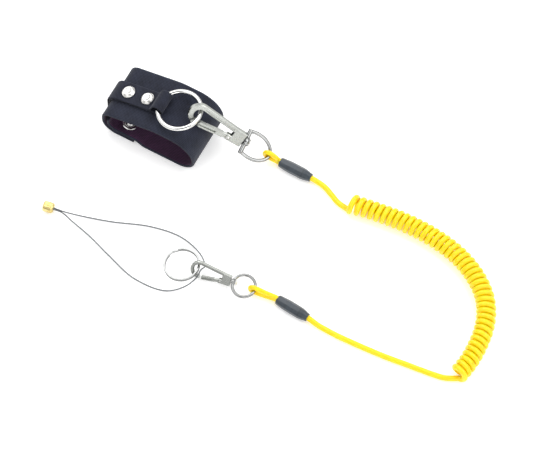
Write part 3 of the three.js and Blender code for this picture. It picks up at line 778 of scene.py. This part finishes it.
def tool_wire_line():
    """Out of the crimp's mouth, through the lower hook's throat and back into the mouth."""
    out = Vector((math.cos(CRIMP_HEADING), math.sin(CRIMP_HEADING), 0))
    side = Vector((-out.y, out.x, 0))
    mouth = CRIMP_AT + out * (CRIMP_LENGTH / 2 + GAP)
    start = mouth + side * WIRE_SPREAD
    end = mouth - side * WIRE_SPREAD
    reach = 7
    height = 3.6

    def ahead_of(point):
        place = point + out * reach
        return Vector((place.x, place.y, height))

    return [
        start - out, ahead_of(start), *TOOL_WIRE_OUT, LOWER_THROAT + WIRE_IN_THROAT,
        *TOOL_WIRE_BACK, ahead_of(end), end - out,
    ]


def make_tool_wire():
    """A wire rope of six strands laid round a core: a lobed section that turns along the wire."""
    line = smooth_line(tool_wire_line(), 0.45)
    total = length_of(line)
    sides = 24

    def strands(share):
        turn = 2 * math.pi * share * total / WIRE_LAY_LENGTH
        outline = []
        for k in range(sides):
            angle = 2 * math.pi * k / sides
            lobe = abs(math.cos(3 * (angle - turn)))
            radius = WIRE_R * (1 - WIRE_GROOVE + WIRE_GROOVE * lobe)
            outline.append((radius * math.cos(angle), radius * math.sin(angle)))
        return outline

    bm = swept(line, strands)
    wire = finish(new_piece("stranded_wire", bm), "tool_loop", "steel_wire", STEEL_WIRE, "tool_wire")


def make_loop(name, node, eye_end, wire_r, sleeve):
    """The cord's end, doubled round the swivel eye and drawn into the sleeve."""
    mouth, ahead, _ = sleeve_axis(sleeve)
    mouth -= ahead * GAP
    along = mouth - eye_end
    length = along.length
    along.normalize()
    up = Vector((0, 0, 1))
    across = (up - along * along.z).normalized()
    bight = LOOP_R + wire_r + LOOP_SLACK
    inset = LOOP_R + LOOP_LEG_GAP
    belly = inset + LOOP_BELLY
    belly_at = length * LOOP_BELLY_AT

    def at(a, c):
        return eye_end + along * a + across * c

    def leg(a, c):
        place = mouth + ahead * a
        return Vector((place.x, place.y, SLEEVE_HEIGHT + c))

    points = [leg(2.5, inset * 0.75), leg(0, inset), leg(-1.5, inset), at(belly_at, belly)]
    bends = 6
    for k in range(bends + 1):
        angle = math.pi / 2 + math.pi * k / bends
        points.append(at(bight * math.cos(angle), bight * math.sin(angle)))
    points += [at(belly_at, -belly), leg(-1.5, -inset), leg(0, -inset), leg(2.5, -inset * 0.75)]
    bm = swept(smooth_line(points, 0.7), circle(LOOP_R, 20), first=across)
    finish(new_piece(name, bm), "cord", "yellow_cord", YELLOW, node)


def make_sleeve(name, node, sleeve):
    """A sleeve pressed to eight flats over the doubled cord, with a rolled mouth and a shoulder."""
    shares = [
        (0, 0), (SLEEVE_MOUTH_R - 0.5, 0), (SLEEVE_MOUTH_R, 0.015), (SLEEVE_MOUTH_R + 0.2, 0.05),
        (SLEEVE_R - 0.25, 0.2), (SLEEVE_R, 0.34), (SLEEVE_R - 0.05, 0.55), (SLEEVE_R, 0.74),
        (SLEEVE_END_R + 0.5, 0.88), (SLEEVE_END_R, 0.94), (SLEEVE_END_R, 0.99),
        (SLEEVE_END_R - 0.35, 1), (0, 1),
    ]
    full = 1.11  # the flats take the round back to its size
    profile = eased([(radius * full, share * SLEEVE_LENGTH) for radius, share in shares], 0.2)
    flats = 8

    def pressed(angle, height):
        share = height / SLEEVE_LENGTH
        amount = max(0.0, math.sin(math.pi * min(1, max(0, (share - 0.04) / 0.82)))) ** 0.5
        sector = (angle + math.pi / flats) % (2 * math.pi / flats) - math.pi / flats
        flat = math.cos(math.pi / flats) / math.cos(sector)
        wrinkle = 0.006 * math.sin(9 * angle + 0.9 * height) + 0.006 * math.sin(2.1 * height)
        return 1 - (0.2 + 0.8 * amount) * (1 - flat) + amount * wrinkle * 0.5

    turn = Matrix.Rotation(sleeve["heading"], 4, "Z") @ Matrix.Rotation(math.pi / 2, 4, "Y")
    place = Matrix.Translation((*sleeve["start"], SLEEVE_HEIGHT))
    bm = moved(turned(profile, 96, pressed), place @ turn)
    finish(new_piece(name, bm), "cord", "sleeve_rubber", SLEEVE, node)


# ---- cuff, tab, rivets and studs

def web_section(width, thick, bead):
    """A webbing's section: normal then across. Soft round edges with a slightly full selvedge."""
    half = width / 2
    radius = thick / 2
    outline = []
    for side in (1, -1):
        for k in range(WEB_STEPS_ACROSS + 1):
            across = side * (-half + radius + (width - thick) * k / WEB_STEPS_ACROSS)
            edge = (half - abs(across)) / (thick * 1.6)
            full = bead * math.exp(-((edge - 0.7) ** 2) * 9)
            outline.append((side * (radius + full - bead), across))
        for k in range(1, WEB_STEPS_ROUND):
            angle = math.pi * k / WEB_STEPS_ROUND
            outline.append((side * (radius - bead) * math.cos(angle),
                            side * (half - radius + radius * math.sin(angle))))
    return outline


def web_uv(piece, width):
    """Lays the uv map flat: along the strip, then across it from one edge."""
    layer = piece.data.uv_layers["lay"].data
    half = width / 2
    for loop in piece.data.loops:
        across = piece.data.vertices[loop.vertex_index].co.y / MM
        u = layer[loop.index].uv[0]
        layer[loop.index].uv = (u, across + half)


def paint_inside_shade(piece, line):
    """Gives the faces on the strip's inner side the second material: painted shade, a purple-tinted copy
    of the webbing that stands in for the cuff's shaded inside.
    """
    sides = 2 * (WEB_STEPS_ACROSS + WEB_STEPS_ROUND)
    inner = WEB_STEPS_ACROSS + 1
    for k in range(len(line) - 1):
        for j in range(inner):
            piece.data.polygons[k * sides + j].material_index = 1


def cut_holes(piece, tools):
    """Cuts round holes, given as bmeshes, out of a piece and applies the cut."""
    cutter = new_piece(piece.name + "_cutter", merged(*tools))
    modifier = piece.modifiers.new("holes", "BOOLEAN")
    modifier.operation = "DIFFERENCE"
    modifier.solver = "EXACT"
    modifier.object = cutter
    graph = bpy.context.evaluated_depsgraph_get()
    mesh = bpy.data.meshes.new_from_object(piece.evaluated_get(graph))
    piece.modifiers.remove(modifier)
    piece.data = mesh
    bpy.data.objects.remove(cutter)


def rod(radius, low, high):
    return turned([(0, low), (radius, low), (radius, high), (0, high)], 40)


def make_cuff():
    half = WEB_THICK / 2
    lap_height = half + WEB_THICK + LAP_SPACE
    left = CUFF_LEFT + half
    right = CUFF_RIGHT - half
    top = CUFF_HEIGHT - half
    knee = on_slope(0, -half)
    inner = left + WEB_THICK + LAP_SPACE
    line = rounded_line([
        (FLAP_END_X, half, 0),
        (left, half, LOW_CORNER_R),
        (*slope_at_left(-half), HIGH_CORNER_R),
        (knee.x, top, TOP_BEND_R),
        (right, top, TOP_RIGHT_R),
        (right, half, LOW_RIGHT_R),
        (JOGGLE_START_X, half, JOGGLE_R),
        (JOGGLE_END_X, lap_height, JOGGLE_R),
        (inner, lap_height, LOW_CORNER_R - WEB_THICK - LAP_SPACE),
        (inner, lap_height + LOW_CORNER_R, 0),
    ])
    strap = new_piece("wrist_webbing", swept(line, web_section(CUFF_WIDTH, WEB_THICK, 0.12)))
    web_uv(strap, CUFF_WIDTH)
    paint_inside_shade(strap, line)
    tools = []
    for y in (-STUD_SPREAD, STUD_SPREAD):
        seat = rod(STUD_CAP_R + GAP, -1, STUD_SEAT_DEPTH)
        tools.append(moved(seat, Matrix.Translation((STUD_X, y, 0))))
    cut_holes(strap, tools)
    faces = [face.material_index for face in strap.data.polygons]
    finish(strap, "cuff", "webbing", WEBBING, "cuff_strap")
    # the second material paints shade on the cuff's inner faces
    strap.data.materials.append(SHADED_INSIDE_WEBBING)
    strap.data.polygons.foreach_set("material_index", faces)


def make_tab():
    """One strip: over the cuff's left fold, up round the ring's eye and back under itself."""
    eye = on_slope(-TAB_EYE_S, EYE_HEIGHT)
    fall = EYE_HEIGHT + EYE_MID_R - PLY_HIGH
    ramp_end = on_slope(-TAB_EYE_S - fall, PLY_HIGH)
    ramp = on_slope(-TAB_EYE_S - 3, EYE_HEIGHT + EYE_MID_R - 1)
    upper = rounded_line([
        (CUFF_LEFT - PLY_HIGH, TAB_END_Z, 0),
        (*slope_at_left(PLY_HIGH), HIGH_CORNER_R + PLY_HIGH),
        (*ramp_end, 3),
        (*ramp, 0),
    ])[:-1]
    first = SLOPE_ANGLE + 2.2
    last = SLOPE_ANGLE - math.pi / 2
    fold = []
    steps = 30
    for k in range(steps + 1):
        angle = first + (last - first) * k / steps
        x = eye.x + EYE_MID_R * math.cos(angle)
        fold.append(Vector((x, 0, eye.y + EYE_MID_R * math.sin(angle))))
    lower = rounded_line([
        (fold[-1].x, fold[-1].z, 0),
        (*slope_at_left(PLY_LOW), HIGH_CORNER_R + PLY_LOW),
        (CUFF_LEFT - PLY_LOW, TAB_END_Z, 0),
    ])[1:]
    line = upper + fold + lower
    tab = new_piece("ring_tape", swept(line, web_section(TAB_WIDTH, TAB_THICK, 0.06)))
    for vertex in tab.data.vertices:
        vertex.co.y += TAB_Y * MM
    web_uv(tab, TAB_WIDTH)
    finish(tab, "cuff", "tab_webbing", TAB_WEBBING, "ring_tab")


def make_rivets():
    """Each rivet is a dished head on a shank, and a burr with its washer inside the cuff."""
    for k, name in enumerate(("inner_rivet", "outer_rivet")):
        s = -TAB_EYE_S - RIVET_FIRST_S - k * RIVET_PITCH
        foot = on_slope(s, 0)
        place = Matrix.Translation((foot.x, TAB_Y, foot.y)) @ Matrix.Rotation(-SLOPE_ANGLE, 4, "Y")
        seat = PLY_HIGH + TAB_THICK / 2 + 0.1
        crown = seat + GAP - 0.1 + RIVET_HEAD_HEIGHT
        cap = [
            (0, -WEB_THICK + 0.4), (RIVET_SHANK_R, -WEB_THICK + 0.4), (RIVET_SHANK_R, seat),
            (RIVET_HEAD_R, seat), (RIVET_HEAD_R + 0.25, seat + 0.5), (RIVET_HEAD_R, seat + 1.1),
            (RIVET_HEAD_R - 0.9, seat + 2), (3.7, crown), (3, crown), (2.2, crown - 0.55),
            (1.1, crown - 0.75), (0, crown - 0.8),
        ]
        bm = moved(turned(eased(cap), 64), place)
        finish(new_piece(name + "_head", bm), "cuff", "plated_steel", RIVET_PLATED, name + "_cap")
        under = -WEB_THICK - GAP
        post = [
            (0, under - WASHER_THICK - 0.4), (1.4, under - WASHER_THICK - 0.4),
            (2, under - WASHER_THICK), (WASHER_R - 0.3, under - WASHER_THICK), (WASHER_R, under - 0.5),
            (WASHER_R, under), (1.3, under), (1.3, -WEB_THICK + 0.1), (0, -WEB_THICK + 0.1),
        ]
        bm = moved(turned(eased(post), 64), place)
        finish(new_piece(name + "_burr", bm), "cuff", "plated_steel", RIVET_PLATED, name + "_post")


def make_studs():
    """Each stud is a cap below the lap, a socket in it and a flanged stud inside the cuff."""
    middle = WEB_THICK + LAP_SPACE / 2
    top = 2 * WEB_THICK + LAP_SPACE
    for end, y in (("front", -STUD_SPREAD), ("rear", STUD_SPREAD)):
        place = Matrix.Translation((STUD_X, y, 0))
        cap = [
            (0, 0.1), (STUD_CAP_R - 0.8, 0.1), (STUD_CAP_R, 0.5), (STUD_CAP_R, 1.1), (1.5, 1.1),
            (1.5, middle - 0.3), (0, middle - 0.3),
        ]
        bm = moved(turned(eased(cap), 64), place)
        finish(new_piece(f"stud_cap_{end}", bm), "cuff", "plated_steel", PLATED, f"snap_cap_{end}")
        low = WEB_THICK + GAP
        high = WEB_THICK + LAP_SPACE - GAP
        ring = [
            (1.9, low), (STUD_SOCKET_R - 0.3, low), (STUD_SOCKET_R, (low + high) / 2),
            (STUD_SOCKET_R - 0.3, high), (1.9, high), (1.9, low),
        ]
        bm = moved(turned(ring, 64), place)
        finish(new_piece(f"stud_socket_{end}", bm), "cuff", "plated_steel", PLATED, f"snap_socket_{end}")
        flange = [
            (0, middle + 0.2), (1.5, middle + 0.2), (1.5, top + GAP), (STUD_FLANGE_R, top + GAP),
            (STUD_FLANGE_R, top + 1), (STUD_FLANGE_R - 0.8, top + 1.5), (STUD_FLANGE_R - 2.2, top + 0.9),
            (3.3, top + 0.8), (2.9, top + 1.9), (1.6, top + 2.4), (0, top + 2.4),
        ]
        bm = moved(turned(eased(flange), 72), place)
        finish(new_piece(f"stud_{end}", bm), "cuff", "plated_steel", PLATED, f"snap_stud_{end}")


# ---- rings, eyes and hooks

def ring_line(radius):
    return [Vector((x, y, 0)) for x, y in circle(radius, 120)]


def make_big_ring():
    eye = on_slope(-TAB_EYE_S, EYE_HEIGHT)
    place = Matrix.Translation((eye.x, TAB_Y, eye.y)) @ Matrix.Rotation(-RING_LEAN, 4, "Y")
    place = place @ Matrix.Translation((RING_MID_R - RING_INSET, 0, 0))
    bm = moved(swept(ring_line(RING_MID_R), circle(RING_WIRE_R, 24), closed=True), place)
    finish(new_piece("tether_ring", bm), "big_ring", "plated_steel", PLATED, "big_ring")


def rounded_square(half, corner):
    section = []
    for quarter in range(4):
        cx = (half - corner) * (1 if quarter in (0, 3) else -1)
        cy = (half - corner) * (1 if quarter in (0, 1) else -1)
        for k in range(4):
            angle = math.pi / 2 * (quarter + k / 3)
            section.append((cx + corner * math.cos(angle), cy + corner * math.sin(angle)))
    return section


def make_split_ring():
    """Two turns of flattened wire. Each end steps off the other turn."""
    centre = Vector((LOWER_THROAT.x - SPLIT_IN_THROAT - SPLIT_MID_R * math.cos(SPLIT_LEAN), SPLIT_Y,
                     LOWER_THROAT.z - SPLIT_MID_R * math.sin(SPLIT_LEAN)))
    steps = 120
    step_share = 0.09
    start_angle = math.radians(165)
    line = []
    for k in range(int(steps * (2 - step_share)) + 1):
        turns = k / steps
        rise = min(1, max(0, (turns - (1 - step_share)) / step_share))
        rise = rise * rise * (3 - 2 * rise)
        angle = start_angle + 2 * math.pi * turns
        height = SPLIT_WIRE * (rise - 0.5)
        line.append(Vector((SPLIT_MID_R * math.cos(angle), SPLIT_MID_R * math.sin(angle), height)))
    section = rounded_square(SPLIT_WIRE / 2 - SPLIT_TURN_GAP, 0.32)
    place = Matrix.Translation(centre) @ Matrix.Rotation(-SPLIT_LEAN, 4, "Y")
    bm = moved(swept(line, section), place)
    finish(new_piece("two_turn_ring", bm), "split_ring", "plated_steel", GREY_PLATED, "split_ring")


def collar(inner_r, outer_r, low, high):
    """A short tube round X, with eased edges."""
    ease = 0.3
    profile = [
        (inner_r, low), (outer_r - ease, low), (outer_r, low + ease), (outer_r, high - ease),
        (outer_r - ease, high), (inner_r, high), (inner_r, low),
    ]
    return moved(turned(profile, 48), Matrix.Rotation(math.pi / 2, 4, "Y"))


def make_upper_eye():
    """A D of wire on a cross bar, with a collar on the swivel post. Returns the D's far point."""
    wire_r, bar_half, bar_r = UPPER_EYE["wire_r"], UPPER_EYE["bar_half"], UPPER_EYE["bar_r"]
    reach = UPPER_EYE["reach"]
    bar_x = UPPER_HOOK["base_end"] + 2 * GAP + bar_r
    shape = [(0, -1), (0.3, -1.106), (0.62, -1), (0.9, -0.55), (1, 0)]
    bow = [Vector((bar_x + reach * a, bar_half * b, 0)) for a, b in shape]
    bow += [Vector((bar_x + reach * a, -bar_half * b, 0)) for a, b in reversed(shape[:-1])]
    bar_end = bar_half + wire_r
    bar = [
        (0, -bar_end), (bar_r - 0.3, -bar_end), (bar_r, 0.4 - bar_end),
        (bar_r, bar_end - 0.4), (bar_r - 0.3, bar_end), (0, bar_end),
    ]
    bm = merged(
        swept(smooth_line(bow, 0.5), circle(wire_r, 22)),
        moved(turned(eased(bar), 40),
              Matrix.Translation((bar_x, 0, 0)) @ Matrix.Rotation(math.pi / 2, 4, "X")),
        collar(UPPER_HOOK["post_r"] + GAP, UPPER_HOOK["post_r"] + 2.2, bar_x - bar_r, bar_x + bar_r),
    )
    place = aimed(UPPER_THROAT, UPPER_AIM, UPPER_EYE_ROLL)
    finish(new_piece("upper_d_eye", moved(bm, place)), "upper_eye", "plated_steel", GREY_PLATED,
           "upper_swivel_eye")
    return place @ Vector((bar_x + reach, 0, 0))


def make_lower_eye():
    """A round of wire with a collar on the swivel post. Returns the round's far point."""
    wire_r, ring_r = LOWER_EYE["wire_r"], LOWER_EYE["ring_r"]
    bar_x = LOWER_HOOK["base_end"] + 2 * GAP + wire_r
    ring = moved(swept(ring_line(ring_r), circle(wire_r, 22), closed=True),
                 Matrix.Translation((bar_x + ring_r, 0, 0)))
    boss = collar(LOWER_HOOK["post_r"] + GAP, LOWER_EYE["boss_r"], bar_x - wire_r, bar_x + wire_r)
    bm = merged(ring, boss)
    place = aimed(LOWER_THROAT, LOWER_AIM, LOWER_EYE_ROLL)
    finish(new_piece("lower_round_eye", moved(bm, place)), "lower_eye", "plated_steel", GREY_PLATED,
           "lower_swivel_eye")
    return place @ Vector((bar_x + 2 * ring_r, 0, 0))


def make_post(prefix, size, bar_r, place):
    """The swivel post, from inside the hook's base to its head beyond the eye's bar."""
    start = size["base_end"] - POST_DEPTH
    head = size["base_end"] + 2 * GAP + 2 * bar_r + size["head_gap"]
    radius, thick = size["head_r"], size["head_thick"]
    profile = [
        (0, start), (size["post_r"], start), (size["post_r"], head), (radius - 0.2, head),
        (radius, head + 0.3), (radius, head + thick * 0.55), (radius * 0.62, head + thick),
        (0, head + thick),
    ]
    bm = moved(turned(eased(profile), 48), place @ Matrix.Rotation(math.pi / 2, 4, "Y"))
    finish(new_piece(prefix + "_swivel_stem", bm), prefix + "_hook", "plated_steel", RIVET_PLATED,
           prefix + "_swivel_post")


def block(low, high):
    """A box between two corners."""
    bm = bmesh.new()
    bmesh.ops.create_cube(bm, size=1)
    low, high = Vector(low), Vector(high)
    bmesh.ops.scale(bm, vec=high - low, verts=bm.verts)
    return moved(bm, Matrix.Translation((low + high) / 2))


def casting(name, node, body, slot, material, edge, cutters=()):
    """A casting of the CAD node's shape, with channels cut in it and its edges worn round."""
    bm = bmesh.new()
    bm.from_mesh(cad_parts[node].data)
    bmesh.ops.scale(bm, vec=(1 / MM, 1 / MM, 1 / MM), verts=bm.verts)
    bmesh.ops.remove_doubles(bm, verts=bm.verts, dist=0.003)
    piece = new_piece(name, bm)
    if cutters:
        cut_holes(piece, cutters)
    bm = bmesh.new()
    bm.from_mesh(piece.data)
    bmesh.ops.remove_doubles(bm, verts=bm.verts, dist=0.01 * MM)
    bmesh.ops.dissolve_limit(bm, angle_limit=0.02, verts=bm.verts, edges=bm.edges)
    bm.to_mesh(piece.data)
    bm.free()
    for face in piece.data.polygons:
        face.use_smooth = True
    bevel = piece.modifiers.new("worn_edges", "BEVEL")
    bevel.width = edge * MM
    bevel.segments = 3
    bevel.angle_limit = math.radians(32)
    bevel.miter_outer = "MITER_ARC"
    normals = piece.modifiers.new("flat_faces", "WEIGHTED_NORMAL")
    normals.keep_sharp = True
    finish(piece, body, slot, material, node)


def spine_groove(size, place):
    """A channel down each face of the spine, from the nose to the base."""
    middle_r = size["throat_r"] + size["bar_width"] / 2
    fall = middle_r - (size["spine_half"] - size["bar_width"] / 2)
    turn = Matrix.Rotation(-math.atan2(fall, size["base_start"] + 2), 4, "Z")
    near, far = 1, size["base_start"] - 1.5
    half = size["bar_width"] * 0.17
    face = size["thick"] / 2
    depth = size["thick"] * 0.1
    tools = []
    for side in (1, -1):
        low, high = sorted((side * (face - depth), side * (face + 1)))
        bm = block((near, -half, low), (far, half, high))
        tools.append(moved(bm, place @ Matrix.Translation((0, middle_r, 0)) @ turn))
    return tools


def gate_channel(size, place):
    """The gate is a folded channel, open at its tip and shut near its pivot."""
    middle_r = size["throat_r"] + size["bar_width"] / 2
    pivot_y = -size["spine_half"] + size["gate_width"] / 2 + 0.4
    reach = size["gate_pivot"] - size["gate_start"]
    turn = Matrix.Rotation(math.atan2(middle_r + pivot_y, reach), 4, "Z")
    half = size["gate_width"] * 0.2
    floor = size["thick"] * 0.08
    bm = block((-reach - 2, -half, floor), (-reach * 0.44, half, size["thick"]))
    return [moved(bm, place @ Matrix.Translation((size["gate_pivot"], pivot_y, 0)) @ turn)]


def make_hooks():
    for prefix, size, eye_r, throat, aim, roll, edge in (
        ("upper", UPPER_HOOK, UPPER_EYE["bar_r"], UPPER_THROAT, UPPER_AIM, UPPER_HOOK_ROLL, 0.7),
        ("lower", LOWER_HOOK, LOWER_EYE["wire_r"], LOWER_THROAT, LOWER_AIM, LOWER_HOOK_ROLL, 0.5),
    ):
        place = aimed(throat, aim, roll)
        make_post(prefix, size, eye_r, place)
        casting(prefix + "_hook_casting", prefix + "_hook_frame", prefix + "_hook",
                "cast_zinc", CAST_ZINC, edge, spine_groove(size, place))
        casting(prefix + "_gate_channel", prefix + "_gate", prefix + "_gate",
                "cast_zinc", CAST_ZINC, edge * 0.4, gate_channel(size, place))
        casting(prefix + "_gate_rivet", prefix + "_gate_pin", prefix + "_hook",
                "plated_steel", RIVET_PLATED, edge * 0.3)


def make_crimp():
    """A turned brass ferrule, its mouth drilled and its barrel nipped on to the wire."""
    half = CRIMP_LENGTH / 2
    hole_end = -half + CRIMP_HOLE_DEPTH
    profile = [
        (0, hole_end), (CRIMP_HOLE_R, hole_end), (CRIMP_HOLE_R, -half + 0.4),
        (CRIMP_HOLE_R + 0.4, -half), (CRIMP_R - 1.1, -half), (CRIMP_R, -half + 1),
        (CRIMP_R, half - 1.7), (CRIMP_R - 1.1, half), (0, half),
    ]

    def nipped(angle, _):
        sector = (angle + math.pi / 6) % (math.pi / 3) - math.pi / 6
        flat = max(math.cos(math.pi / 6) / math.cos(sector), 0.9)
        return flat * 1.06

    place = Matrix.Translation(CRIMP_AT) @ Matrix.Rotation(CRIMP_HEADING, 4, "Z")
    bm = moved(turned(eased(profile), 72, nipped), place @ Matrix.Rotation(math.pi / 2, 4, "Y"))
    finish(new_piece("brass_ferrule", bm), "tool_loop", "brass", BRASS, "wire_crimp")


# ---- assembly

make_camera()
make_main_cord()
make_tool_wire()
make_world()
make_lights()
make_floor()
make_cuff()
make_tab()
make_rivets()
make_studs()
make_big_ring()
make_split_ring()
make_hooks()
make_loop("upper_cord_loop", "upper_loop", make_upper_eye(), UPPER_EYE["wire_r"], UPPER_SLEEVE)
make_loop("lower_cord_loop", "lower_loop", make_lower_eye(), LOWER_EYE["wire_r"], LOWER_SLEEVE)
make_sleeve("upper_shrink_sleeve", "upper_sleeve", UPPER_SLEEVE)
make_sleeve("lower_shrink_sleeve", "lower_sleeve", LOWER_SLEEVE)
make_crimp()
